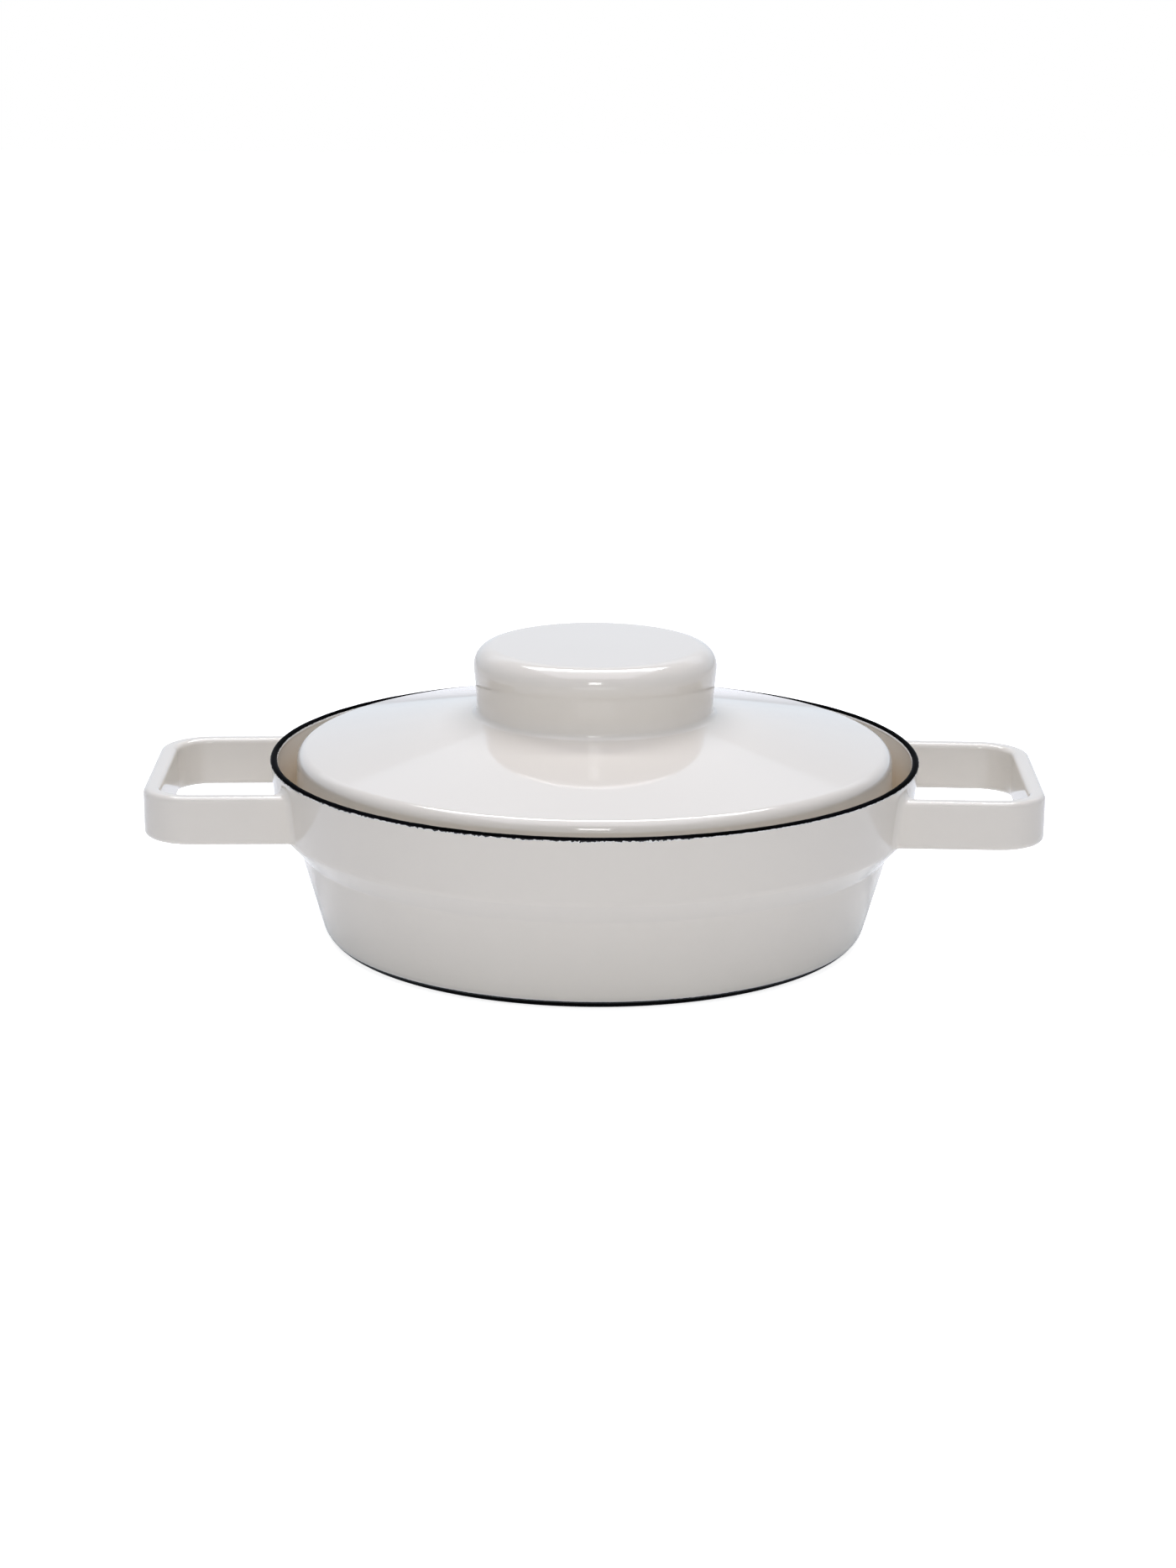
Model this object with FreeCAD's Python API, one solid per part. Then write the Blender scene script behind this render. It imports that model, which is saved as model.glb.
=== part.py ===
import FreeCAD, Part
import math
import os

from FreeCAD import Vector

# Low covered casserole in enamelled sheet steel.
# The frame: origin at the centre of the underside, +Z up, +X out through the right handle, -Y the front.
# Every round piece is a section in the XZ plane turned about Z. All lengths are millimetres, angles degrees.

# ---- pot: a deep-drawn dish whose wall steps out once, and whose step is the seat of the lid ----
pot_height = 63.0
pot_sheet = 2.4
floor_thickness = 3.0
lower_wall_foot_radius = 91.0
step_bottom_radius = 100.4
step_bottom_height = 32.2
step_top_radius = 107.8
step_top_height = 40.4
rim_radius = 110.0
foot_rounding = 8.0
step_bottom_rounding = 3.0
step_top_rounding = 4.0

# The underside stands on a flat ring and is pressed up inside it, so that the pot never rocks.
standing_ring_inner_radius = 72.0
underside_recess = 0.8
recess_slope_width = 3.0

# Black enamel: a bead along each cut edge of the sheet, and one coat under the base.
edge_bead_height = 1.0
edge_bead_chamfer = 0.6
base_coat_thickness = 0.5
base_coat_height = 2.75

# ---- handles: one bent flat bar on each side, its two arms welded to the upper wall ----
handle_reach = 150.5
handle_width = 86.8
bar_height = 16.4
bar_thickness = 5.8
bar_edge_rounding = 1.9
bend_outer_radius = 17.0
handle_underside_height = 41.5
handle_droop = 0.67
droop_pivot_radius = 105.0
arm_root_radius = 94.0
weld_radius = 3.0

# ---- lid: a shallow cone with a long skirt that flares a little down to the seat ----
lid_sheet = 2.0
neck_radius = 40.1
neck_corner_height = 77.6
neck_top_height = 83.0
neck_rounding = 1.6
shoulder_radius = 100.9
shoulder_height = 65.15
shoulder_rounding = 4.1
skirt_flare = 1.8
seat_clearance = 0.4

# ---- knob: a hollow cup, wider at the top, butt-welded to the neck of the lid ----
knob_height = 100.75
knob_top_corner_radius = 41.85
knob_rounding = 7.0
knob_weld_half_height = 1.6
knob_weld_thickness = 1.0


def point(radius, height):
    """A point of a section: distance from the axis and height."""
    return Vector(radius, 0, height)


def unit(start, end):
    """The unit direction from one point to another."""
    direction = end - start
    direction.normalize()
    return direction


def crossing(first, first_direction, second, second_direction):
    """Where two straight lines of the XZ plane meet."""
    across = first_direction.x * second_direction.z - first_direction.z * second_direction.x
    gap = second - first
    along = (gap.x * second_direction.z - gap.z * second_direction.x) / across
    return first + first_direction * along


def offset_corners(corners, distance):
    """The corners of a line drawn beside another one, on its left as it is followed."""
    directions = [unit(a, b) for a, b in zip(corners, corners[1:])]
    shifts = [Vector(-d.z, 0, d.x) * distance for d in directions]
    moved = [corners[0] + shifts[0]]
    for index in range(1, len(directions)):
        moved.append(crossing(corners[index - 1] + shifts[index - 1], directions[index - 1],
                              corners[index] + shifts[index], directions[index]))
    moved.append(corners[-1] + shifts[-1])
    return moved


def rounded_line(corners, roundings):
    """Edges along the corners, each inner corner rounded by its own radius; 0 leaves it sharp."""
    edges = []
    start = corners[0]
    for before, corner, after, radius in zip(corners, corners[1:], corners[2:], roundings):
        into = unit(corner, before)
        out = unit(corner, after)
        if radius > 0:
            half_angle = into.getAngle(out) / 2
            setback = radius / math.tan(half_angle)
            bisector = unit(Vector(0, 0, 0), into + out)
            centre = corner + bisector * (radius / math.sin(half_angle))
            edges.append(Part.LineSegment(start, corner + into * setback).toShape())
            edges.append(Part.Arc(corner + into * setback, centre - bisector * radius,
                                  corner + out * setback).toShape())
            start = corner + out * setback
        else:
            edges.append(Part.LineSegment(start, corner).toShape())
            start = corner
    edges.append(Part.LineSegment(start, corners[-1]).toShape())
    return edges


def line_ends(edges):
    """The first and last points of a chain of edges that was made in order."""
    return edges[0].Vertexes[0].Point, edges[-1].Vertexes[-1].Point


def turned(edges):
    """The solid of revolution of a closed section."""
    section = Part.Face(Part.Wire(Part.__sortEdges__(edges)))
    return section.revolve(Vector(0, 0, 0), Vector(0, 0, 1), 360)


def turned_between(outer_edges, inner_edges):
    """Turn the section that lies between two lines, closed by straight ends."""
    outer_start, outer_end = line_ends(outer_edges)
    inner_start, inner_end = line_ends(inner_edges)
    ends = [Part.LineSegment(outer_start, inner_start).toShape(),
            Part.LineSegment(outer_end, inner_end).toShape()]
    return turned(outer_edges + inner_edges + ends)


def outline_through(points):
    """A closed section of straight edges."""
    return [Part.LineSegment(a, b).toShape() for a, b in zip(points, points[1:] + points[:1])]


def edge_bead(outer, inner, rise):
    """A bead that covers the cut edge of a sheet between its two corners, its own corners bevelled."""
    inwards = unit(outer, inner) * edge_bead_chamfer
    below_bevel = rise - unit(Vector(0, 0, 0), rise) * edge_bead_chamfer
    return turned(outline_through([outer, outer + below_bevel, outer + inwards + rise,
                                   inner - inwards + rise, inner + below_bevel, inner]))


def mirrored(shape):
    """The same piece on the other side of the pot."""
    return shape.mirror(Vector(0, 0, 0), Vector(1, 0, 0))


# ---- pot ----
def pot_outer_corners():
    """The outside of the pot from the standing ring up to the black edge."""
    wall_top = pot_height - edge_bead_height
    return [point(standing_ring_inner_radius, 0), point(lower_wall_foot_radius, 0),
            point(step_bottom_radius, step_bottom_height), point(step_top_radius, step_top_height),
            point(rim_radius, wall_top)]


def pot_inner_corners():
    """The inside of the pot, one sheet inside its outside, down to a flat floor."""
    corners = offset_corners(pot_outer_corners(), pot_sheet)
    wall_direction = unit(corners[2], corners[1])
    floor_corner = crossing(corners[2], wall_direction, point(0, floor_thickness), Vector(1, 0, 0))
    return [point(0, floor_thickness), floor_corner] + corners[2:]


def underside_line(lift):
    """The underside from the axis to the standing ring, lifted by the thickness of a coat."""
    return [point(0, underside_recess + lift),
            point(standing_ring_inner_radius - recess_slope_width, underside_recess + lift),
            point(standing_ring_inner_radius, lift)]


def pot_form(lift):
    """The whole pot as if it were full, taken in all round by the thickness of a coat."""
    corners = pot_outer_corners()
    if lift > 0:
        corners = offset_corners(corners, lift)
    outside = rounded_line(underside_line(lift) + corners[1:],
                           [0, 0, foot_rounding - lift, step_bottom_rounding, step_top_rounding])
    bottom, top = line_ends(outside)
    rim_plane = point(0, top.z)
    closing = [Part.LineSegment(top, rim_plane).toShape(), Part.LineSegment(rim_plane, bottom).toShape()]
    return turned(outside + closing)


def make_base_coat():
    """The black coat under the base, whose edge shows as a thin dark line round the foot."""
    slice_below = Part.makeCylinder(rim_radius, base_coat_height)
    return pot_form(0).common(slice_below).cut(pot_form(base_coat_thickness))


def make_pot_shell(base_coat):
    inner_corners = pot_inner_corners()
    inner_roundings = [foot_rounding - pot_sheet, step_bottom_rounding + pot_sheet,
                       step_top_rounding - pot_sheet]
    inside = rounded_line(inner_corners, inner_roundings)
    bottom, top = line_ends(inside)
    mouth_height = pot_height + pot_sheet
    wall_direction = unit(inner_corners[-2], inner_corners[-1])
    mouth = crossing(top, wall_direction, point(0, mouth_height), Vector(1, 0, 0))
    centre = point(0, mouth_height)
    cavity = turned(inside + [Part.LineSegment(top, mouth).toShape(),
                              Part.LineSegment(mouth, centre).toShape(),
                              Part.LineSegment(centre, bottom).toShape()])
    return pot_form(0).cut(cavity).cut(base_coat)


def make_pot_rim_edge(pot_shell):
    """The black bead on the flat top of the wall."""
    top_face = max(pot_shell.Faces, key=lambda face: face.CenterOfMass.z)
    outer_radius = top_face.BoundBox.XMax
    inner_radius = min(edge.Curve.Radius for edge in top_face.Edges if hasattr(edge.Curve, "Radius"))
    height = top_face.CenterOfMass.z
    return edge_bead(point(outer_radius, height), point(inner_radius, height),
                     Vector(0, 0, edge_bead_height))


# ---- handles ----
def plan_point(x, y):
    return Vector(x, y, handle_underside_height)


def handle_outline():
    """The bar in plan: an open-ended rectangle whose bends keep the bar's thickness."""
    half_width = handle_width / 2
    inner_half = half_width - bar_thickness
    inner_reach = handle_reach - bar_thickness
    corners = [(arm_root_radius, -half_width, 0), (handle_reach, -half_width, bend_outer_radius),
               (handle_reach, half_width, bend_outer_radius), (arm_root_radius, half_width, 0),
               (arm_root_radius, inner_half, 0), (inner_reach, inner_half, bend_outer_radius - bar_thickness),
               (inner_reach, -inner_half, bend_outer_radius - bar_thickness),
               (arm_root_radius, -inner_half, 0)]
    edges = []
    leaving = []
    arriving = []
    for index, (x, y, radius) in enumerate(corners):
        corner = plan_point(x, y)
        before = plan_point(*corners[index - 1][:2])
        after = plan_point(*corners[(index + 1) % len(corners)][:2])
        into = unit(corner, before)
        out = unit(corner, after)
        arriving.append(corner + into * radius)
        leaving.append(corner + out * radius)
        if radius > 0:
            middle = corner + (into + out) * radius - unit(Vector(0, 0, 0), into + out) * radius
            edges.append(Part.Arc(arriving[-1], middle, leaving[-1]).toShape())
    for index in range(len(corners)):
        edges.append(Part.LineSegment(leaving[index - 1], arriving[index]).toShape())
    return Part.Wire(Part.__sortEdges__(edges))


def handle_bar():
    """The bent bar with its long edges rounded, drooping a little, its arms run on into the wall."""
    bar = Part.Face(handle_outline()).extrude(Vector(0, 0, bar_height))
    long_edges = []
    for edge in bar.Edges:
        is_level = edge.BoundBox.ZLength < 0.01
        is_at_root = edge.BoundBox.XMax < arm_root_radius + 0.01
        if is_level and not is_at_root:
            long_edges.append(edge)
    bar = bar.makeFillet(bar_edge_rounding, long_edges)
    pivot = Vector(droop_pivot_radius, 0, handle_underside_height + bar_height / 2)
    bar.rotate(pivot, Vector(0, 1, 0), handle_droop)
    return bar


def make_handle(bar, form):
    return bar.cut(form)


def arm_spaces():
    """The two boxes, one for each arm of the bar, that hold all of its joint with the wall."""
    outer_side = handle_width / 2 + bar_edge_rounding
    inner_side = handle_width / 2 - bar_thickness - bar_edge_rounding
    low = handle_underside_height - bar_edge_rounding
    high = handle_underside_height + bar_height + bar_edge_rounding
    return [FreeCAD.BoundBox(arm_root_radius, inner_side, low, rim_radius, outer_side, high),
            FreeCAD.BoundBox(arm_root_radius, -outer_side, low, rim_radius, -inner_side, high)]


def make_handle_welds(bar, form):
    """The ground weld round each arm: the hollow fillet that blends the bar into the wall."""
    joined = form.fuse(bar)
    root_edges = []
    for edge in joined.Edges:
        if any(space.isInside(edge.BoundBox) for space in arm_spaces()):
            root_edges.append(edge)
    return joined.makeFillet(weld_radius, root_edges).cut(form).cut(bar)


# ---- lid ----
def skirt_end_height():
    """The height of the skirt's lower edge, whose bead stands on the sloping seat of the pot."""
    seat_low, seat_high = pot_inner_corners()[2:4]
    seat_direction = unit(seat_low, seat_high)
    steepness = seat_direction.z / seat_direction.x
    flare = math.tan(math.radians(skirt_flare))
    middle_of_shoulder = shoulder_radius - lid_sheet / 2 / math.cos(math.radians(skirt_flare))
    radius_at_floor = middle_of_shoulder + shoulder_height * flare
    lift = (edge_bead_height + seat_clearance) / seat_direction.x
    return (seat_low.z + (radius_at_floor - seat_low.x) * steepness + lift) / (1 + flare * steepness)


def lid_outer_corners():
    """The outside of the lid from the neck of the knob down to the black edge of the skirt."""
    end_height = skirt_end_height()
    skirt_spread = (shoulder_height - end_height) * math.tan(math.radians(skirt_flare))
    return [point(neck_radius, neck_top_height), point(neck_radius, neck_corner_height),
            point(shoulder_radius, shoulder_height), point(shoulder_radius + skirt_spread, end_height)]


def make_lid_shell():
    outer_corners = lid_outer_corners()
    inner_corners = offset_corners(outer_corners, -lid_sheet)
    outside = rounded_line(outer_corners, [neck_rounding, shoulder_rounding])
    inside = rounded_line(inner_corners, [neck_rounding + lid_sheet, shoulder_rounding - lid_sheet])
    return turned_between(outside, inside)


def make_lid_rim_edge():
    """The black bead along the lower edge of the skirt, in line with it."""
    outer_corners = lid_outer_corners()
    inner_corners = offset_corners(outer_corners, -lid_sheet)
    downwards = unit(outer_corners[-2], outer_corners[-1])
    return edge_bead(outer_corners[-1], inner_corners[-1], downwards * edge_bead_height)


# ---- knob ----
def knob_outer_corners():
    return [point(neck_radius, neck_top_height), point(knob_top_corner_radius, knob_height),
            point(0, knob_height)]


def knob_inner_corners():
    """The hollow of the knob, which opens into the neck of the lid at the neck's own width."""
    corners = offset_corners(knob_outer_corners(), lid_sheet)
    return [point(neck_radius - lid_sheet, neck_top_height)] + corners[1:]


def make_knob_shell():
    outside = rounded_line(knob_outer_corners(), [knob_rounding])
    inside = rounded_line(knob_inner_corners(), [knob_rounding - lid_sheet])
    return turned_between(outside, inside)


def make_knob_weld():
    """The low bead inside the neck that joins the knob to the lid and lies against both walls."""
    seam, knob_wall_top = knob_inner_corners()[:2]
    crown_half_height = knob_weld_half_height - knob_weld_thickness
    crown = seam - Vector(knob_weld_thickness, 0, 0)
    return turned(outline_through([seam - Vector(0, 0, knob_weld_half_height), seam,
                                   seam + unit(seam, knob_wall_top) * knob_weld_half_height,
                                   crown + Vector(0, 0, crown_half_height),
                                   crown - Vector(0, 0, crown_half_height)]))


def make_parts():
    form = pot_form(0)
    bar = handle_bar()
    base_coat = make_base_coat()
    pot_shell = make_pot_shell(base_coat)
    right_handle = make_handle(bar, form)
    right_welds = make_handle_welds(bar, form)
    return {
        "pot_shell": pot_shell,
        "pot_rim_edge": make_pot_rim_edge(pot_shell),
        "base_coat": base_coat,
        "right_handle": right_handle,
        "left_handle": mirrored(right_handle),
        "right_handle_welds": right_welds,
        "left_handle_welds": mirrored(right_welds),
        "lid_shell": make_lid_shell(),
        "lid_rim_edge": make_lid_rim_edge(),
        "knob_shell": make_knob_shell(),
        "knob_weld": make_knob_weld(),
    }


os.makedirs("parts", exist_ok=True)
for name, shape in make_parts().items():
    shape.exportStep(os.path.join("parts", name + ".step"))
    print(name, "volume", round(shape.Volume, 1), "solids", len(shape.Solids), "valid", shape.isValid())
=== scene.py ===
import math

import bpy
from mathutils import Matrix, Vector


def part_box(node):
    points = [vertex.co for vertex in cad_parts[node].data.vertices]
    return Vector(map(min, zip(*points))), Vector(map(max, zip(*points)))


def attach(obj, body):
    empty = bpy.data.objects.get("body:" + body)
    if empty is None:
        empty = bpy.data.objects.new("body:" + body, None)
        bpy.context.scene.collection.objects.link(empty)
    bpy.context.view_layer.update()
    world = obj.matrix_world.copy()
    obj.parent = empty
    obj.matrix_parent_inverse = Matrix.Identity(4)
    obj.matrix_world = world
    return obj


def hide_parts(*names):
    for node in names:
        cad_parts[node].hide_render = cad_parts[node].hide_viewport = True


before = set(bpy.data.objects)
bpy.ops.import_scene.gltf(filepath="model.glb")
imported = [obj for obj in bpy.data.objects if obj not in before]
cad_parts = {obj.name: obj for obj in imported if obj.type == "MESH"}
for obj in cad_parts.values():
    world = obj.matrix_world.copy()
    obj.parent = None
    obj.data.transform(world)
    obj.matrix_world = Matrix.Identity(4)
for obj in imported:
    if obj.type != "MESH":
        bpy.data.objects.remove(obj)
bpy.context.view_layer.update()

# Low covered casserole in enamelled sheet steel.
# Its forms are given in millimetres, which MM turns into metres.
MM = 0.001

# ---- the forms, as the sheet is drawn: corners (radius, height), and the rounding of each corner ----
pot_sheet = 2.4
pot_outside = [(72.0, 0.0), (91.0, 0.0), (100.4, 32.2), (107.8, 40.4), (110.02, 62.2)]
foot_rounding = 8.0
step_bottom_rounding = 3.0
step_top_rounding = 4.0
underside_recess = 0.8
recess_radius = 69.0
floor_thickness = 3.0
base_coat_height = 2.75

lid_sheet = 2.0
neck_radius = 40.1
neck_top = 83.0
neck_corner = 77.6
neck_rounding = 2.2
shoulder_radius = 100.9
shoulder_height = 65.15
shoulder_rounding = 4.1
skirt_flare = math.radians(1.8)

knob_top_radius = 41.85
knob_rounding = 7.0
knob_seam_rounding = 30.0

bar_height = 16.4
bar_thickness = 5.8
bar_edge_rounding = 1.9
bend_outer_radius = 17.0
handle_reach = 150.5
handle_width = 86.8
handle_underside = 41.5
handle_droop = math.radians(0.67)
droop_pivot = Vector((105.0, 0.0, handle_underside + bar_height / 2)) * MM
weld_radius = 3.0

# ---- how the enamel lies on them ----
edge_bead_height = 1.0
glaze_lip = 0.12
bead_unevenness = 0.16
bead_lump_size = 6.0

# Heights: where the black line round the foot ends and its thick black begins, and how far the black
# climbs up the skirt above its bead.
base_black_to = 3.4
foot_black_from = 0.1
skirt_black_up = 0.3

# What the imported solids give: the top of the rim, the top of the knob and the end of the lid's sheet.
pot_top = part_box("pot_rim_edge")[1].z / MM
lid_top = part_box("knob_shell")[1].z / MM
skirt_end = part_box("lid_rim_edge")[0].z / MM + edge_bead_height

# ---- how finely they are divided, from which angle an edge is sharp, and what counts as one place ----
SIDES = 320
CORNER_STEPS = 8
BEAD_SIDES = 16
EDGE_STEPS = 6
FLAT_CUTS = 7
BEND_STEPS = 14
WELD_STEPS = 10
WELD_PROBES = 40
SHARP_FROM = math.radians(40)
SAME_PLACE = 0.02


# ---- modelling, one step at a time ----
def deselect_all():
    bpy.ops.object.select_all(action="DESELECT")


def start_piece(name):
    """Name the object that was just added, and take its place into its mesh."""
    piece = bpy.context.object
    piece.name = name
    piece.data.name = name
    bpy.ops.object.transform_apply(location=True, rotation=True, scale=True)
    return piece


def start_copy(source, name, mirrored=False):
    """A copy of a piece with its own mesh, turned over to the other side of the pot if it is mirrored."""
    deselect_all()
    source.select_set(True)
    bpy.context.view_layer.objects.active = source
    bpy.ops.object.duplicate()
    bpy.context.object.scale.x = -1 if mirrored else 1
    return start_piece(name)


def choose(piece, is_chosen, kind="EDGE"):
    """In edit mode, select the edges or faces that lie wholly at the points that the test picks."""
    bpy.ops.object.mode_set(mode="OBJECT")
    mesh = piece.data
    picked = [is_chosen(vertex.co) for vertex in mesh.vertices]
    mesh.vertices.foreach_set("select", picked)
    mesh.edges.foreach_set("select", [all(picked[end] for end in edge.vertices) for edge in mesh.edges])
    mesh.polygons.foreach_set("select", [kind == "FACE" and all(picked[end] for end in face.vertices)
                                         for face in mesh.polygons])
    bpy.ops.object.mode_set(mode="EDIT")
    bpy.ops.mesh.select_mode(type=kind)


def draw_out(x, y, z):
    """Draw the chosen edges or faces out by this much."""
    bpy.ops.mesh.extrude_region_move(TRANSFORM_OT_translate={"value": (x * MM, y * MM, z * MM)})


def finish_surface(piece):
    """Turn the faces outwards and shade the piece smooth, with its large faces kept true."""
    bpy.ops.object.mode_set(mode="EDIT")
    bpy.ops.mesh.select_all(action="SELECT")
    bpy.ops.mesh.normals_make_consistent(inside=False)
    bpy.ops.object.mode_set(mode="OBJECT")
    bpy.ops.object.shade_smooth_by_angle(angle=SHARP_FROM, keep_sharp_edges=False)
    bpy.ops.object.modifier_add(type="WEIGHTED_NORMAL")
    piece.modifiers[-1].keep_sharp = True
    bpy.ops.object.modifier_apply(modifier=piece.modifiers[-1].name)


def beside(corners, distance):
    """The corners of a line drawn beside another one, on its left as it is followed."""
    lines = []
    for (r0, z0), (r1, z1) in zip(corners, corners[1:]):
        length = math.hypot(r1 - r0, z1 - z0)
        along_r, along_z = (r1 - r0) / length, (z1 - z0) / length
        lines.append((r0 - along_z * distance, z0 + along_r * distance, along_r, along_z))
    moved = [lines[0][:2]]
    for (r0, z0, a0, b0), (r1, z1, a1, b1) in zip(lines, lines[1:]):
        way = ((r1 - r0) * b1 - (z1 - z0) * a1) / (a0 * b1 - b0 * a1)
        moved.append((r0 + a0 * way, z0 + b0 * way))
    last_along_r, last_along_z = lines[-1][2:]
    moved.append((corners[-1][0] - last_along_z * distance, corners[-1][1] + last_along_r * distance))
    return moved


def setback(before, corner, after, rounding):
    """How far from a corner its rounding begins."""
    leg_in = Vector((before[0] - corner[0], before[1] - corner[1]))
    leg_out = Vector((after[0] - corner[0], after[1] - corner[1]))
    return rounding / math.tan(leg_in.angle(leg_out) / 2)


def turned_piece(name, section):
    """A closed piece turned about the upright axis, from a section of corners (radius, height, rounding).

    The section starts and ends on the axis. A small disc at its start is drawn out from corner to
    corner, and then the corners are rounded.
    """
    first_disc_share = 0.25
    deselect_all()
    height = section[0][1]
    radius = section[1][0] * first_disc_share
    bpy.ops.mesh.primitive_circle_add(vertices=SIDES, radius=radius * MM, location=(0, 0, height * MM),
                                      fill_type="TRIFAN")
    piece = start_piece(name)
    bpy.ops.object.mode_set(mode="EDIT")
    bpy.ops.mesh.select_mode(type="EDGE")
    bpy.ops.mesh.select_all(action="DESELECT")
    bpy.ops.mesh.select_non_manifold(extend=False)
    for next_radius, next_height, _ in section[1:]:
        draw_out(0, 0, next_height - height)
        if next_radius == 0:
            bpy.ops.mesh.merge(type="CENTER")
        else:
            spread = next_radius / radius
            bpy.ops.transform.resize(value=(spread, spread, 1), center_override=(0, 0, next_height * MM))
        radius, height = next_radius, next_height
    for before, corner, after in zip(section, section[1:], section[2:]):
        rounding = corner[2]
        if rounding > 0:
            ring = Vector(corner[:2]) * MM
            choose(piece, lambda co: (Vector((co.xy.length, co.z)) - ring).length < SAME_PLACE * MM)
            bpy.ops.mesh.bevel(offset=setback(before, corner, after, rounding) * MM, offset_type="OFFSET",
                               segments=CORNER_STEPS, profile=0.5, affect="EDGES", clamp_overlap=False)
    bpy.ops.object.mode_set(mode="OBJECT")
    return piece


def cut_level(source, name, height, keep_above):
    """A copy of a piece that is cut level, closed at the cut, and keeps what is above or below it."""
    part = start_copy(source, name)
    bpy.ops.object.mode_set(mode="EDIT")
    bpy.ops.mesh.select_all(action="SELECT")
    bpy.ops.mesh.bisect(plane_co=(0, 0, height * MM), plane_no=(0, 0, 1), use_fill=True,
                        clear_inner=keep_above, clear_outer=not keep_above)
    finish_surface(part)
    return part


def bead_on_edge(name, radius, height, half_width, half_height):
    """The round bead of black enamel on a cut edge: half sunk into the sheet, and a little uneven."""
    deselect_all()
    bpy.ops.mesh.primitive_torus_add(major_segments=2 * SIDES, minor_segments=BEAD_SIDES,
                                     major_radius=radius * MM, minor_radius=half_width * MM,
                                     location=(0, 0, height * MM))
    bead = start_piece(name)
    bpy.ops.object.mode_set(mode="EDIT")
    bpy.ops.mesh.select_all(action="SELECT")
    bpy.ops.transform.resize(value=(1, 1, half_height / half_width), center_override=(0, 0, height * MM))
    bpy.ops.object.mode_set(mode="OBJECT")
    lumps = bpy.data.textures.new(name + "_lumps", "CLOUDS")
    lumps.noise_scale = bead_lump_size * MM
    lumps.noise_depth = 1
    bpy.ops.object.modifier_add(type="DISPLACE")
    uneven = bead.modifiers[-1]
    uneven.texture = lumps
    uneven.texture_coords = "LOCAL"
    uneven.mid_level = 0.62
    uneven.strength = bead_unevenness * MM
    bpy.ops.object.modifier_apply(modifier=uneven.name)
    finish_surface(bead)
    return bead


# ---- pot ----
def make_pot():
    """The pot as one closed form, cut level into its cream shell and the black coat of its base."""
    inside = beside(pot_outside, pot_sheet)
    lower_lean = (inside[2][0] - inside[1][0]) / (inside[2][1] - inside[1][1])
    upper_lean = (inside[4][0] - inside[3][0]) / (inside[4][1] - inside[3][1])
    floor_corner = inside[1][0] + (floor_thickness - inside[1][1]) * lower_lean
    wall_outside, wall_top = pot_outside[4]
    wall_inside = inside[4][0] + (wall_top - inside[4][1]) * upper_lean
    whole = turned_piece("pot_form", [
        (0.0, underside_recess, 0), (recess_radius, underside_recess, 0),
        (*pot_outside[0], 0), (*pot_outside[1], foot_rounding), (*pot_outside[2], step_bottom_rounding),
        (*pot_outside[3], step_top_rounding), (wall_outside, wall_top, glaze_lip),
        (wall_inside, wall_top, glaze_lip), (*inside[3], step_top_rounding - pot_sheet),
        (*inside[2], step_bottom_rounding + pot_sheet),
        (floor_corner, floor_thickness, foot_rounding - pot_sheet), (0.0, floor_thickness, 0)])
    shell = cut_level(whole, "pot_shell_enamelled", base_coat_height, keep_above=True)
    base = cut_level(whole, "base_coat_fired", base_coat_height, keep_above=False)
    bpy.data.objects.remove(whole)
    bead = bead_on_edge("pot_rim_bead", (wall_outside + wall_inside) / 2, wall_top,
                        (wall_outside - wall_inside) / 2 - glaze_lip, pot_top - wall_top)
    return shell, base, bead


# ---- lid and knob ----
def make_lid():
    """The lid and its knob as one closed form, cut level at the seam that the enamel hides.

    From the top: the knob, which is a wide cup turned upside down and leans in towards its seam, the
    neck, the shallow cone, the rounded shoulder, and the skirt with the bead along it.
    """
    skirt_radius = shoulder_radius + (shoulder_height - skirt_end) * math.tan(skirt_flare)
    knob_outside = [(0.0, lid_top), (knob_top_radius, lid_top), (neck_radius, neck_top)]
    lid_outside = [(neck_radius, neck_top), (neck_radius, neck_corner),
                   (shoulder_radius, shoulder_height), (skirt_radius, skirt_end)]
    knob_inside = beside(knob_outside, -lid_sheet)
    lid_inside = beside(lid_outside, -lid_sheet)
    whole = turned_piece("lid_form", [
        (0.0, lid_top, 0), (*knob_outside[1], knob_rounding), (*knob_outside[2], knob_seam_rounding),
        (*lid_outside[1], neck_rounding), (*lid_outside[2], shoulder_rounding), (*lid_outside[3], 0),
        (*lid_inside[3], 0), (*lid_inside[2], shoulder_rounding - lid_sheet),
        (*lid_inside[1], neck_rounding + lid_sheet), (*lid_inside[0], 0),
        (*knob_inside[1], knob_rounding - lid_sheet), (0.0, lid_top - lid_sheet, 0)])
    knob = cut_level(whole, "knob_enamelled", neck_top, keep_above=True)
    lid = cut_level(whole, "lid_enamelled", neck_top, keep_above=False)
    bpy.data.objects.remove(whole)
    bead = bead_on_edge("lid_skirt_bead", (skirt_radius + lid_inside[3][0]) / 2,
                        (skirt_end + lid_inside[3][1]) / 2, (lid_sheet - glaze_lip) / 2, edge_bead_height)
    return knob, lid, bead


def faces_inside_pot(pot):
    """The faces that line the pot: its floor, and its wall as far out as the middle of the sheet."""
    just_below_floor = floor_thickness - 0.1
    inside = []
    for face in pot.data.polygons:
        radius, height = face.center.xy.length / MM, face.center.z / MM
        wall_radius = 0.0
        for (r0, z0), (r1, z1) in zip(pot_outside, pot_outside[1:]):
            if z0 <= height <= z1 and z1 > z0:
                wall_radius = r0 + (r1 - r0) * (height - z0) / (z1 - z0)
        if height > just_below_floor and radius < wall_radius - pot_sheet / 2:
            inside.append(face)
    return inside


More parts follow.
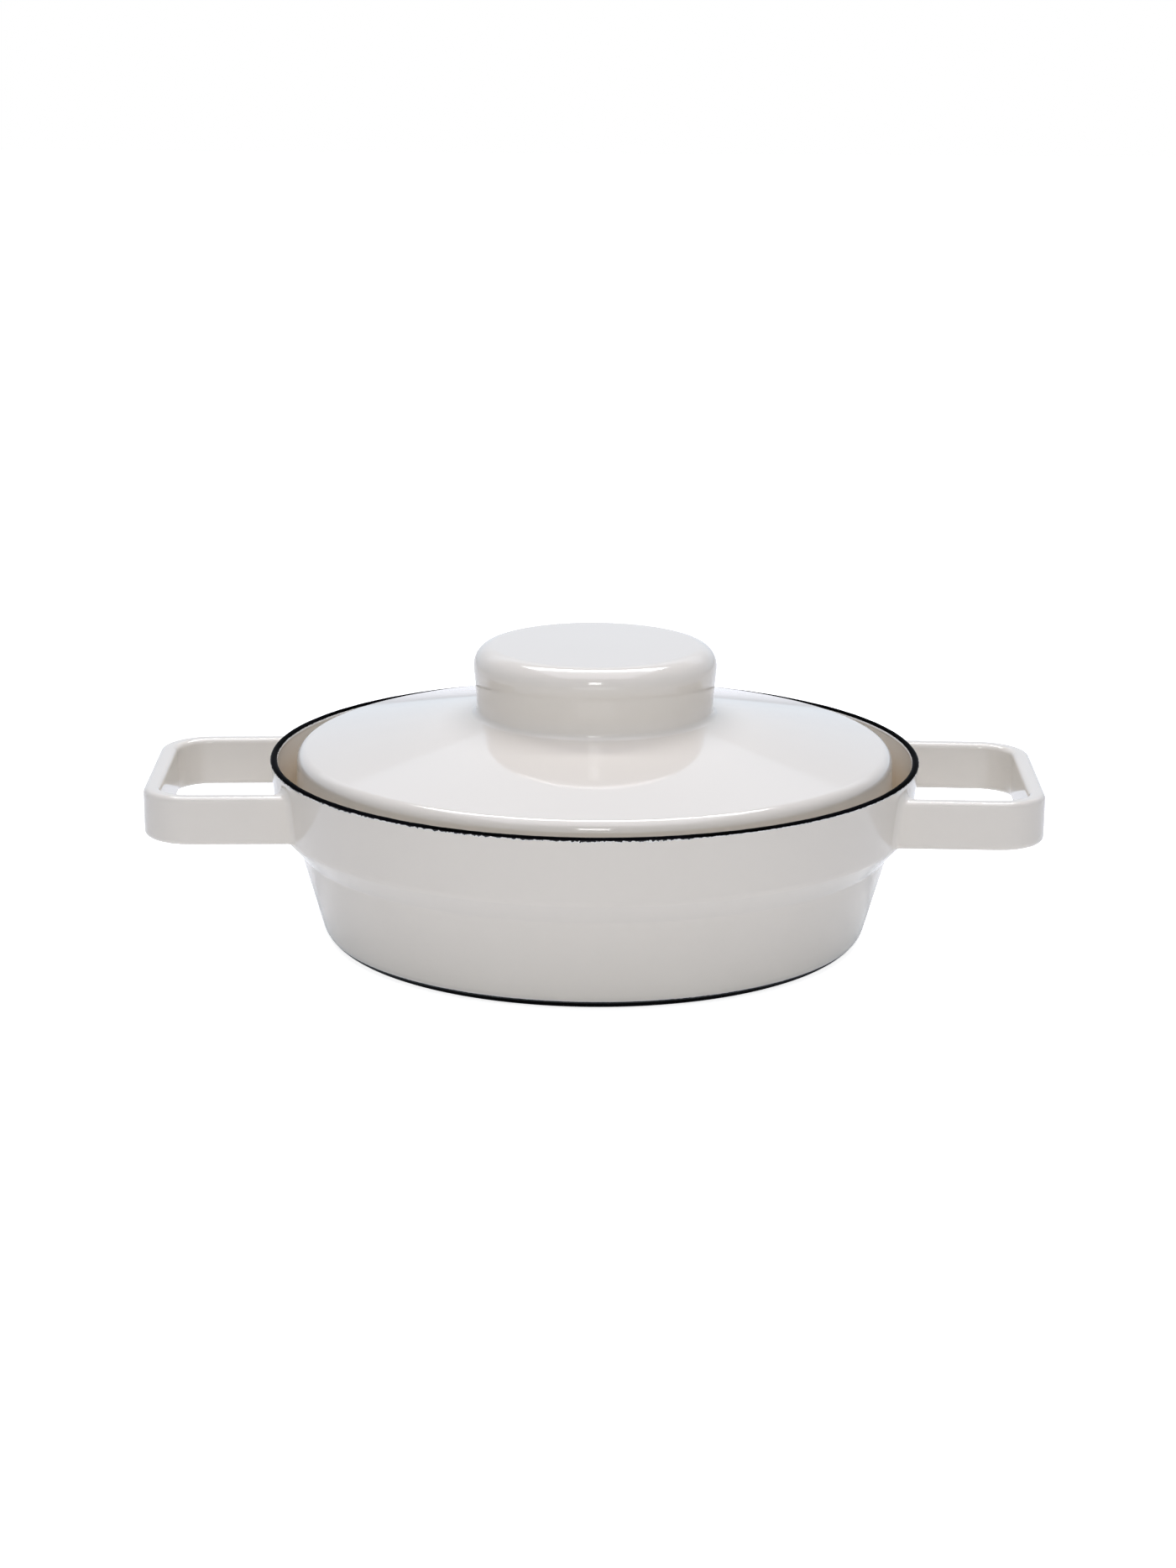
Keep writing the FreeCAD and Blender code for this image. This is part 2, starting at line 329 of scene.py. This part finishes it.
def faces_round_foot(base):
    """The faces of the base coat that curve up round the foot, where it lies thickest."""
    return [face for face in base.data.polygons
            if face.center.z > foot_black_from * MM and face.center.xy.length > pot_outside[0][0] * MM]


# ---- handles ----
def weld_run(wall, place, outwards, along):
    """From one point of the arm's outline out over the weld: the track of a ball rolled into the corner.

    The ball touches the arm and the wall. The run ends a little inside the wall.
    """
    run_on, sink, end_length = 0.5 * MM, 0.12 * MM, 1.0 * MM
    ball = weld_radius * MM
    centre_way, off_arm = -1.0, ball
    for probe in range(1, WELD_PROBES):
        probe_off_arm = 2 * ball * probe / WELD_PROBES
        wall_point = wall.ray_cast(place + outwards * probe_off_arm, -along)[1]
        way = (wall_point - place).dot(along) + math.sqrt(ball ** 2 - (probe_off_arm - ball) ** 2)
        if way > centre_way:
            centre_way, off_arm = way, probe_off_arm
    centre = place + along * centre_way + outwards * ball
    sweep = math.acos((ball - off_arm) / ball)
    run = []
    for step in range(WELD_STEPS + 1):
        turn = sweep * step / WELD_STEPS
        run.append(centre - outwards * (ball * math.cos(turn)) - along * (ball * math.sin(turn)))
    onwards = outwards * math.sin(sweep) - along * math.cos(sweep)
    off_wall = outwards * math.cos(sweep) + along * math.sin(sweep)
    sunk = run[-1] + onwards * run_on - off_wall * sink
    return run + [sunk, sunk - along * end_length]


def weld_arm(handle, wall, side):
    """Run one arm out into the wall: its end face is drawn out ring by ring over the weld."""
    end_depth = 0.5 * MM
    end = min(vertex.co.x for vertex in handle.data.vertices if vertex.co.y * side > 0)
    choose(handle, lambda co: co.x < end + end_depth and co.y * side > 0, kind="FACE")
    bpy.ops.object.mode_set(mode="OBJECT")
    places = [vertex.co.copy() for vertex in handle.data.vertices if vertex.select]
    middle = sum(places, Vector((0, 0, 0))) / len(places)
    along = Vector((math.cos(handle_droop), 0, -math.sin(handle_droop)))
    flat_side = (bar_thickness / 2 - bar_edge_rounding) * MM
    flat_height = (bar_height / 2 - bar_edge_rounding) * MM
    runs = []
    for place in places:
        off = place - middle
        outwards = Vector((0, off.y - max(-flat_side, min(flat_side, off.y)),
                           off.z - max(-flat_height, min(flat_height, off.z))))
        runs.append(weld_run(wall, place, outwards.normalized(), along))
    for step in range(len(runs[0])):
        bpy.ops.object.mode_set(mode="EDIT")
        draw_out(0, 0, 0)
        bpy.ops.object.mode_set(mode="OBJECT")
        for vertex in handle.data.vertices:
            if vertex.select:
                nearest = min(range(len(places)), key=lambda index: (places[index] - vertex.co).length)
                vertex.co = runs[nearest][step]
        places = [run[step] for run in runs]


def make_handle(wall):
    """A flat bar bent twice, its long edges rounded, with both arms welded smoothly to the wall."""
    half_width = (handle_width - bar_thickness) / 2
    middle_height = handle_underside + bar_height / 2
    bend_start = handle_reach - bend_outer_radius
    bend_side = half_width - (bend_outer_radius - bar_thickness / 2)
    arm_end = pot_outside[-1][0] + 2 * weld_radius
    end_middle = (arm_end * MM, -half_width * MM, middle_height * MM)
    deselect_all()
    bpy.ops.mesh.primitive_plane_add(size=1.0, rotation=(0, math.pi / 2, 0), location=end_middle)
    handle = start_piece("right_handle_enamelled")
    bpy.ops.object.mode_set(mode="EDIT")
    bpy.ops.mesh.select_mode(type="VERT")
    bpy.ops.mesh.select_all(action="SELECT")
    bpy.ops.transform.resize(value=(1, bar_thickness * MM, bar_height * MM), center_override=end_middle)
    bpy.ops.mesh.bevel(offset=bar_edge_rounding * MM, affect="VERTICES", segments=EDGE_STEPS, profile=0.5)
    upright_end = (bar_height / 2 - bar_edge_rounding + SAME_PLACE) * MM
    choose(handle, lambda co: abs(co.z - end_middle[2]) < upright_end)
    bpy.ops.mesh.subdivide(number_cuts=FLAT_CUTS)
    bpy.ops.mesh.select_mode(type="FACE")
    bpy.ops.mesh.select_all(action="SELECT")
    draw_out(bend_start - arm_end, 0, 0)
    bpy.ops.mesh.spin(steps=BEND_STEPS, angle=-math.pi / 2, axis=(0, 0, 1),
                      center=(bend_start * MM, -bend_side * MM, middle_height * MM))
    draw_out(0, 2 * bend_side, 0)
    bpy.ops.mesh.spin(steps=BEND_STEPS, angle=-math.pi / 2, axis=(0, 0, 1),
                      center=(bend_start * MM, bend_side * MM, middle_height * MM))
    draw_out(arm_end - bend_start, 0, 0)
    bpy.ops.mesh.select_all(action="SELECT")
    bpy.ops.transform.rotate(value=-handle_droop, orient_axis="Y", center_override=droop_pivot)
    bpy.ops.object.mode_set(mode="OBJECT")
    for side in (-1, 1):
        weld_arm(handle, wall, side)
    finish_surface(handle)
    return handle


def mirror_handle(handle):
    """The same handle on the other side of the pot."""
    other = start_copy(handle, "left_handle_enamelled", mirrored=True)
    finish_surface(other)
    return other


# ---- node helpers ----
def add_node(tree, kind, place, **settings):
    """A node of this kind, with its settings made and its input values given by name."""
    node = tree.nodes.new(kind)
    node.location = place
    for key, value in settings.items():
        if key == "values":
            for socket, amount in value.items():
                node.inputs[socket].default_value = amount
        else:
            setattr(node, key, value)
    return node


def feed(tree, socket, source):
    """Link an output to this socket, or set the socket to a plain value."""
    if isinstance(source, bpy.types.NodeSocket):
        tree.links.new(source, socket)
    else:
        socket.default_value = source


def add_maths(tree, operation, place, *sources):
    """A Math node fed with these numbers or outputs. Gives its own output."""
    node = add_node(tree, "ShaderNodeMath", place, operation=operation)
    for socket, source in zip(node.inputs, sources):
        feed(tree, socket, source)
    return node.outputs[0]


def add_places(tree, place):
    """The place of each point on its object."""
    return add_node(tree, "ShaderNodeTexCoord", place).outputs["Object"]


def add_noise(tree, place, points, per_metre, detail, roughness):
    """A cloudy pattern from 0 to 1, with this many clouds to the metre."""
    node = add_node(tree, "ShaderNodeTexNoise", place,
                    values={"Scale": per_metre, "Detail": detail, "Roughness": roughness})
    tree.links.new(points, node.inputs["Vector"])
    return node.outputs["Fac"]


def add_range(tree, place, source, start, end, low=0.0, high=1.0, **settings):
    """Spread what lies between start and end out from low to high. These may be numbers or outputs."""
    node = add_node(tree, "ShaderNodeMapRange", place, **settings)
    for socket, value in (("Value", source), ("From Min", start), ("From Max", end),
                          ("To Min", low), ("To Max", high)):
        feed(tree, node.inputs[socket], value)
    return node.outputs["Result"]


def mix_colour(tree, place, mask, under, over):
    """One colour over another where the mask says. Gives the mixed colour."""
    node = add_node(tree, "ShaderNodeMix", place, data_type="RGBA")
    sockets = {socket.name: socket for socket in node.inputs if socket.enabled}
    for name, source in (("Factor", mask), ("A", under), ("B", over)):
        feed(tree, sockets[name], source)
    return next(socket for socket in node.outputs if socket.enabled)


def new_group(name, inputs, outputs):
    """A shader node group with plain number sockets. Gives the group, its entry and its exit node."""
    group = bpy.data.node_groups.new(name, "ShaderNodeTree")
    for socket, default in inputs.items():
        made = group.interface.new_socket(name=socket, in_out="INPUT", socket_type="NodeSocketFloat")
        made.default_value = default
    for socket in outputs:
        group.interface.new_socket(name=socket, in_out="OUTPUT", socket_type="NodeSocketFloat")
    entry = add_node(group, "NodeGroupInput", (-1200, 0))
    leave = add_node(group, "NodeGroupOutput", (600, 0))
    return group, entry, leave


def new_finish(name):
    """A new material. Gives the material, its node tree and its main shader."""
    finish = bpy.data.materials.new(name)
    finish.use_nodes = True
    return finish, finish.node_tree, finish.node_tree.nodes["Principled BSDF"]


# ---- effects that several finishes share ----
BLACK_ABOVE = 1.0
BLACK_BELOW = -1.0


def make_glaze_flow():
    """How fired enamel lies: long slow waves where it ran, and a fine orange peel on top of them."""
    group, entry, leave = new_group("glaze_flow", {"Wave Depth": 0.04 * MM, "Peel Depth": 0.001 * MM},
                                    ["Height", "Cloud"])
    places = add_places(group, (-1200, 300))
    waves = add_noise(group, (-800, 300), places, per_metre=22.0, detail=1.0, roughness=0.4)
    peel = add_noise(group, (-800, 0), places, per_metre=420.0, detail=1.0, roughness=0.5)
    deep = add_maths(group, "MULTIPLY", (-400, 300), waves, entry.outputs["Wave Depth"])
    fine = add_maths(group, "MULTIPLY", (-400, 0), peel, entry.outputs["Peel Depth"])
    group.links.new(add_maths(group, "ADD", (0, 150), deep, fine), leave.inputs["Height"])
    group.links.new(waves, leave.inputs["Cloud"])
    return group


def make_ragged_border():
    """Where black enamel meets the cream coat along a level edge.

    Black gives 1 on the black side of a line that wanders about Edge Height by up to Depth. The line is
    wildest at the front left of the pot. Lip gives up to 1 along the thick edge of the cream coat beside
    it, where a highlight is painted, and Ridge is the real swell of that edge. Side is BLACK_ABOVE or
    BLACK_BELOW.
    """
    group, entry, leave = new_group(
        "ragged_border",
        {"Edge Height": 0.0, "Side": BLACK_ABOVE, "Depth": 0.3 * MM, "Lip Width": 0.3 * MM},
        ["Black", "Lip", "Ridge"])
    wilder_to_the_left = -2.2
    wilder_to_the_front = -1.6
    half_blur = 0.04 * MM
    places = add_places(group, (-1200, 400))
    teeth = add_noise(group, (-950, 400), places, per_metre=800.0, detail=3.0, roughness=0.6)
    stretch = add_noise(group, (-950, 100), places, per_metre=30.0, detail=1.0, roughness=0.5)
    place = add_node(group, "ShaderNodeSeparateXYZ", (-950, -200))
    group.links.new(places, place.inputs["Vector"])
    swing = add_range(group, (-700, 400), teeth, 0.35, 0.65, low=1.0, high=-0.2, clamp=False)
    leaning = add_maths(group, "MULTIPLY_ADD", (-820, 100), place.outputs["X"], wilder_to_the_left,
                        stretch)
    leaning = add_maths(group, "MULTIPLY_ADD", (-720, 100), place.outputs["Y"], wilder_to_the_front,
                        leaning)
    wildness = add_range(group, (-600, 100), leaning, 0.5, 0.7, low=0.25)
    wander = add_maths(group, "MULTIPLY", (-450, 250), swing, wildness)
    wander = add_maths(group, "MULTIPLY", (-300, 250), wander, entry.outputs["Depth"])
    above = add_maths(group, "SUBTRACT", (-450, -100), place.outputs["Z"], entry.outputs["Edge Height"])
    into_black = add_maths(group, "MULTIPLY_ADD", (-150, 0), above, entry.outputs["Side"], wander)
    black = add_range(group, (100, 150), into_black, -half_blur, half_blur)
    group.links.new(black, leave.inputs["Black"])
    past = add_maths(group, "DIVIDE", (100, -150), into_black, entry.outputs["Lip Width"])
    lip = add_range(group, (300, -150), past, -1.0, 0.0, interpolation_type="SMOOTHSTEP")
    group.links.new(add_maths(group, "SUBTRACT", (450, -50), lip, black), leave.inputs["Lip"])
    far_side = add_maths(group, "SUBTRACT", (450, -250), 1.0, lip)
    swell = add_maths(group, "MULTIPLY", (450, -400), lip, far_side)
    group.links.new(add_maths(group, "MULTIPLY", (600, -300), swell, 4.0), leave.inputs["Ridge"])
    return group


def make_kiln_specks():
    """A dark speck here and there, where a grain of scale was fired in."""
    group, entry, leave = new_group("kiln_specks", {"Size": 0.2 * MM, "Share": 0.6}, ["Specks"])
    grain_spacing = 14 * MM
    grains = add_node(group, "ShaderNodeTexVoronoi", (-800, 200), values={"Scale": 1 / grain_spacing})
    group.links.new(add_places(group, (-1200, 300)), grains.inputs["Vector"])
    distance = add_maths(group, "MULTIPLY", (-500, 300), grains.outputs["Distance"], grain_spacing)
    near = add_maths(group, "LESS_THAN", (-300, 300), distance, entry.outputs["Size"])
    chance = add_node(group, "ShaderNodeSeparateColor", (-500, 0))
    group.links.new(grains.outputs["Color"], chance.inputs["Color"])
    kept = add_maths(group, "LESS_THAN", (-300, 0), chance.outputs["Red"], entry.outputs["Share"])
    group.links.new(add_maths(group, "MULTIPLY", (0, 150), near, kept), leave.inputs["Specks"])
    return group


glaze_flow = make_glaze_flow()
ragged_border = make_ragged_border()
kiln_specks = make_kiln_specks()

# ---- finishes ----
CREAM_THIN = (0.845, 0.798, 0.722, 1.0)
CREAM_THICK = (0.825, 0.778, 0.702, 1.0)
# Painted shade: the darker, warmer colour deep inside the pot, where the pot shades itself.
PAINTED_DEEP_SHADE = (0.73, 0.62, 0.48, 1.0)
# Painted highlight: near-white colour along the cream lip beside each black border, where its edge
# catches the light.
PAINTED_LIP_HIGHLIGHT = (0.96, 0.95, 0.93, 1.0)
BLACK = (0.001, 0.001, 0.001, 1.0)
BLACK_THIN = (0.003, 0.003, 0.004, 1.0)
BASE_BLACK = (0.003, 0.003, 0.003, 1.0)
BASE_BLACK_THIN = (0.011, 0.010, 0.009, 1.0)
SPECK = (0.10, 0.085, 0.07, 1.0)
enamel_ior = 1.5
cream_gloss = 0.5
cream_roughness = 0.06
cream_roughness_swing = 0.03
tooth_roughness = 0.7
black_roughness_swing = 0.1
ridge_height = 0.08
speck_size = 0.15
speck_share = 0.35
# Heights in millimetres where the painted shade inside the pot begins and where it is full.
painted_shade_starts = 60.0
painted_shade_full = 47.0


def add_waves(tree, wave_depth, peel_depth):
    """The uneven lie of the glaze. Gives its height and its cloud."""
    flow = add_node(tree, "ShaderNodeGroup", (-1500, -300), node_tree=glaze_flow,
                    values={"Wave Depth": wave_depth * MM, "Peel Depth": peel_depth * MM})
    return flow.outputs["Height"], flow.outputs["Cloud"]


def add_relief(tree, shader, height):
    """Let a height in metres shape the light on the surface."""
    relief = add_node(tree, "ShaderNodeBump", (-300, -400), values={"Distance": 1.0, "Strength": 1.0})
    tree.links.new(height, relief.inputs["Height"])
    tree.links.new(relief.outputs["Normal"], shader.inputs["Normal"])


def make_cream_enamel(name, borders, painted_depth_shade=None):
    """Glossy cream enamel, a little darker where it lies thick.

    Each border gives its height, the side on which the black lies, the depth of its teeth and the width
    of the lip beside it, which is painted near white as a highlight. A painted depth shade is painted
    shade inside the pot: a darker, warmer colour that grows from the rim down.
    """
    finish, tree, shader = new_finish(name)
    shader.inputs["IOR"].default_value = enamel_ior
    shader.inputs["Specular IOR Level"].default_value = cream_gloss
    height, cloud = add_waves(tree, wave_depth=0.04, peel_depth=0.0006)
    cream = mix_colour(tree, (-1100, 200), cloud, CREAM_THIN, CREAM_THICK)
    # Painted shade inside the pot, darker and warmer from the rim down.
    if painted_depth_shade:
        place = add_node(tree, "ShaderNodeSeparateXYZ", (-1700, 900))
        tree.links.new(add_places(tree, (-1900, 900)), place.inputs["Vector"])
        depth = add_range(tree, (-1500, 900), place.outputs["Z"], painted_shade_starts * MM, painted_shade_full * MM,
                          interpolation_type="SMOOTHSTEP")
        cream = mix_colour(tree, (-1100, 500), depth, cream, painted_depth_shade)
    specks = add_node(tree, "ShaderNodeGroup", (-1500, 500), node_tree=kiln_specks,
                      values={"Size": speck_size * MM, "Share": speck_share})
    colour = mix_colour(tree, (-900, 300), specks.outputs["Specks"], cream, SPECK)
    all_black = 0.0
    for row, (edge_height, side, teeth_depth, lip_width) in enumerate(borders):
        border = add_node(tree, "ShaderNodeGroup", (-1500, -600 - 250 * row), node_tree=ragged_border,
                          values={"Edge Height": edge_height * MM, "Side": side,
                                  "Depth": teeth_depth * MM, "Lip Width": lip_width * MM})
        # A painted highlight along the cream lip, then the black itself.
        colour = mix_colour(tree, (-600, 200 - 200 * row), border.outputs["Lip"], colour, PAINTED_LIP_HIGHLIGHT)
        colour = mix_colour(tree, (-400, 200 - 200 * row), border.outputs["Black"], colour, BLACK)
        height = add_maths(tree, "MULTIPLY_ADD", (-700, -500 - 200 * row), border.outputs["Ridge"],
                           ridge_height * MM, height)
        all_black = add_maths(tree, "MAXIMUM", (-900, -500 - 200 * row), border.outputs["Black"],
                              all_black)
    tree.links.new(colour, shader.inputs["Base Color"])
    smooth = add_maths(tree, "MULTIPLY_ADD", (-900, -100), cloud, cream_roughness_swing,
                       cream_roughness - cream_roughness_swing / 2)
    roughness = add_maths(tree, "MULTIPLY_ADD", (-500, -100), all_black,
                          tooth_roughness - cream_roughness, smooth)
    tree.links.new(roughness, shader.inputs["Roughness"])
    add_relief(tree, shader, height)
    return finish


def make_black_enamel(name, thick, thin, gloss, roughness):
    """Black ground enamel: thinner and duller than the cream, and browner where it ran thin."""
    finish, tree, shader = new_finish(name)
    shader.inputs["IOR"].default_value = enamel_ior
    shader.inputs["Specular IOR Level"].default_value = gloss
    height, cloud = add_waves(tree, wave_depth=0.08, peel_depth=0.004)
    thinness = add_range(tree, (-900, 200), cloud, 0.4, 0.65, interpolation_type="SMOOTHSTEP")
    tree.links.new(mix_colour(tree, (-600, 200), thinness, thick, thin), shader.inputs["Base Color"])
    duller = add_maths(tree, "MULTIPLY_ADD", (-600, -100), thinness, black_roughness_swing,
                       roughness - black_roughness_swing / 2)
    tree.links.new(duller, shader.inputs["Roughness"])
    add_relief(tree, shader, height)
    return finish


# ---- floor, light and camera ----
COOL_WALL = (0.88, 0.99, 1.12, 1.0)
PLAIN_WHITE = (1.0, 1.0, 1.0, 1.0)
FLOOR_GREY = (0.9, 0.9, 0.9, 1.0)
NO_COLOUR = (0.0, 0.0, 0.0, 1.0)
WHITE_LIGHT = (1.0, 1.0, 1.0)
wall_glow = 0.13
wall_in_mirrors = 0.9
backdrop_top_in_mirrors = 1.35
pot_middle = Vector((0, 0, 0.06))

# Each lamp: its name, size, power, colour and place, and whether it lights matt surfaces too.
LAMPS = [
    ("overhead_softbox", (1.1, 0.12), 3.8, WHITE_LIGHT, (0.0, 0.5, 1.12), True),
    ("overhead_sheen", (1.1, 0.36), 9.6, WHITE_LIGHT, (0.0, 0.46, 1.13), False),
    ("ceiling_softbox", (2.4, 2.4), 32.5, (0.975, 0.955, 1.055), (0.0, 0.0, 2.2), True),
    ("front_window", (0.3, 0.36), 3.8, WHITE_LIGHT, (0.0, -1.38, 0.95), True),
    ("low_front_fill", (1.4, 0.4), 2.5, (1.0, 1.0, 1.03), (0.0, -1.9, 0.25), True),
]


def add_seen_strength(tree, to_camera, to_mirrors, to_rest):
    """A strength for what the camera sees, one for what gloss and glass see, and one for other light."""
    rays = add_node(tree, "ShaderNodeLightPath", (-900, 0))
    mirrored = add_maths(tree, "MAXIMUM", (-700, -150), rays.outputs["Is Glossy Ray"],
                         rays.outputs["Is Transmission Ray"])
    mirrored = add_maths(tree, "MULTIPLY", (-500, -150), mirrored, to_mirrors)
    seen = add_maths(tree, "MULTIPLY", (-500, 50), rays.outputs["Is Camera Ray"], to_camera)
    either = add_maths(tree, "MAXIMUM", (-300, 0), seen, mirrored)
    return add_maths(tree, "MAXIMUM", (-100, 0), either, to_rest)


def add_seen_colour(tree):
    """Plain white for the camera, and the cool white of the studio's walls for everything else."""
    rays = add_node(tree, "ShaderNodeLightPath", (-900, 400))
    return mix_colour(tree, (-400, 400), rays.outputs["Is Camera Ray"], COOL_WALL, PLAIN_WHITE)


def add_glow(tree, shader, strength):
    """Let a stage piece shine in the colours of the studio, with no gloss of its own."""
    shader.inputs["Specular IOR Level"].default_value = 0.0
    tree.links.new(add_seen_colour(tree), shader.inputs["Emission Color"])
    tree.links.new(strength, shader.inputs["Emission Strength"])


def make_floor():
    """A wide pale floor that shows white, with the soft shadow of the pot on it."""
    floor_size = 5.5
    below_pot = 0.2 * MM
    deselect_all()
    bpy.ops.mesh.primitive_plane_add(size=floor_size, location=(0, 0, -below_pot))
    floor = start_piece("floor")
    finish, tree, shader = new_finish("pale_floor")
    shader.inputs["Base Color"].default_value = FLOOR_GREY
    shader.inputs["Roughness"].default_value = 0.9
    add_glow(tree, shader, add_seen_strength(tree, to_camera=0.88, to_mirrors=0.28, to_rest=0.07))
    floor.data.materials.append(finish)


def make_backdrop():
    """A wall behind the pot that grows brighter upwards, which the gloss of lid and knob picks up."""
    wall_size, wall_middle = (5.0, 1.0, 3.0), (0, 2.6, 1.85)
    brighter_from, brightest_at = 0.45, 1.9
    deselect_all()
    bpy.ops.mesh.primitive_plane_add(size=1.0, rotation=(math.pi / 2, 0, 0))
    bpy.context.object.scale = wall_size
    bpy.context.object.location = wall_middle
    backdrop = start_piece("backdrop")
    finish, tree, shader = new_finish("pale_backdrop")
    shader.inputs["Base Color"].default_value = NO_COLOUR
    place = add_node(tree, "ShaderNodeSeparateXYZ", (-1500, -300))
    tree.links.new(add_places(tree, (-1700, -300)), place.inputs["Vector"])
    rise = add_range(tree, (-1300, -300), place.outputs["Z"], brighter_from, brightest_at,
                     wall_in_mirrors, backdrop_top_in_mirrors, interpolation_type="SMOOTHSTEP")
    add_glow(tree, shader, add_seen_strength(tree, to_camera=1.0, to_mirrors=rise, to_rest=wall_glow))
    backdrop.data.materials.append(finish)


def make_world():
    """Even, slightly cool light from all round. The camera sees plain white."""
    world = bpy.data.worlds.new("studio")
    bpy.context.scene.world = world
    world.use_nodes = True
    tree = world.node_tree
    background = tree.nodes["Background"]
    tree.links.new(add_seen_colour(tree), background.inputs["Color"])
    strength = add_seen_strength(tree, to_camera=1.0, to_mirrors=wall_in_mirrors, to_rest=wall_glow)
    tree.links.new(strength, background.inputs["Strength"])


def make_lamp(name, size, power, colour, place, lights_matt):
    """A rectangular softbox that faces the pot. One that lights nothing matt only shows in the gloss."""
    data = bpy.data.lights.new(name, "AREA")
    data.shape = "RECTANGLE"
    data.size, data.size_y = size
    data.energy = power
    data.color = colour
    lamp = bpy.data.objects.new(name, data)
    bpy.context.scene.collection.objects.link(lamp)
    lamp.location = place
    lamp.visible_diffuse = lights_matt
    lamp.rotation_mode = "QUATERNION"
    lamp.rotation_quaternion = (pot_middle - lamp.location).to_track_quat("-Z", "Y")


def make_camera():
    """The view from the front and a little above, nearly level with the lid."""
    data = bpy.data.cameras.new("view")
    data.sensor_width = 36.0
    data.lens = 90.58
    camera = bpy.data.objects.new("view", data)
    bpy.context.scene.collection.objects.link(camera)
    turn_about_object = 0.0037
    place = (-0.0022, -1.301, 0.39035)
    pitch_down = 0.2544
    roll = 0.0061
    orbit = Matrix.Rotation(turn_about_object, 4, "Z")
    stand = Matrix.Translation(place)
    look = Matrix.Rotation(math.pi / 2 - pitch_down, 4, "X") @ Matrix.Rotation(roll, 4, "Z")
    camera.matrix_world = orbit @ stand @ look
    bpy.context.scene.camera = camera


# ---- the object ----
def dress(piece, finish, slot, body, *nodes):
    """Give a piece its finish, and let it ride on its body in place of these CAD nodes. The slot is not
    used.
    """
    piece.data.materials.clear()
    piece.data.materials.append(finish)
    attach(piece, body)
    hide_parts(*nodes)


def dress_faces(piece, finish, faces):
    """Give some faces of a dressed piece a second finish."""
    piece.data.materials.append(finish)
    for face in faces:
        face.material_index = 1


# Each border: its height, the side of the black, the depth of its teeth, the width of the cream lip that
# is painted as a highlight.
rim_border = (pot_outside[4][1], BLACK_ABOVE, 0.55, 0.5)
inside_border = (pot_outside[4][1], BLACK_ABOVE, 0.15, 1.1)
base_border = (base_black_to, BLACK_BELOW, 0.12, 0.45)
skirt_border = (skirt_end + skirt_black_up, BLACK_BELOW, 0.3, 0.45)
pot_cream = make_cream_enamel("pot_cream_enamel", [rim_border, base_border])
# The lining of the pot, with painted shade that deepens from the rim down.
inside_cream_painted_shade = make_cream_enamel("pot_inside_enamel_painted_shade", [inside_border], PAINTED_DEEP_SHADE)
lid_cream = make_cream_enamel("lid_cream_enamel", [skirt_border])
rim_black = make_black_enamel("rim_black_enamel", BLACK, BLACK_THIN, gloss=0.001, roughness=0.2)
base_black = make_black_enamel("base_black_enamel", BASE_BLACK, BASE_BLACK_THIN, gloss=0.12,
                               roughness=0.3)

pot, base, rim_bead = make_pot()
knob, lid, skirt_bead = make_lid()
right_handle = make_handle(pot)
left_handle = mirror_handle(right_handle)

dress(pot, pot_cream, "cream_enamel", "pot", "pot_shell")
dress_faces(pot, inside_cream_painted_shade, faces_inside_pot(pot))
dress(base, base_black, "black_enamel", "pot", "base_coat")
dress_faces(base, rim_black, faces_round_foot(base))
dress(rim_bead, rim_black, "black_enamel", "pot", "pot_rim_edge")
dress(right_handle, pot_cream, "cream_enamel", "pot", "right_handle", "right_handle_welds")
dress(left_handle, pot_cream, "cream_enamel", "pot", "left_handle", "left_handle_welds")
dress(lid, lid_cream, "cream_enamel", "lid", "lid_shell")
dress(skirt_bead, base_black, "black_enamel", "lid", "lid_rim_edge")
dress(knob, lid_cream, "cream_enamel", "lid", "knob_shell")
knob_weld_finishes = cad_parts["knob_weld"].data.materials
knob_weld_finishes.clear()
knob_weld_finishes.append(lid_cream)

make_floor()
make_world()
make_backdrop()
for lamp_values in LAMPS:
    make_lamp(*lamp_values)
make_camera()
bpy.context.scene.view_settings.view_transform = "Standard"
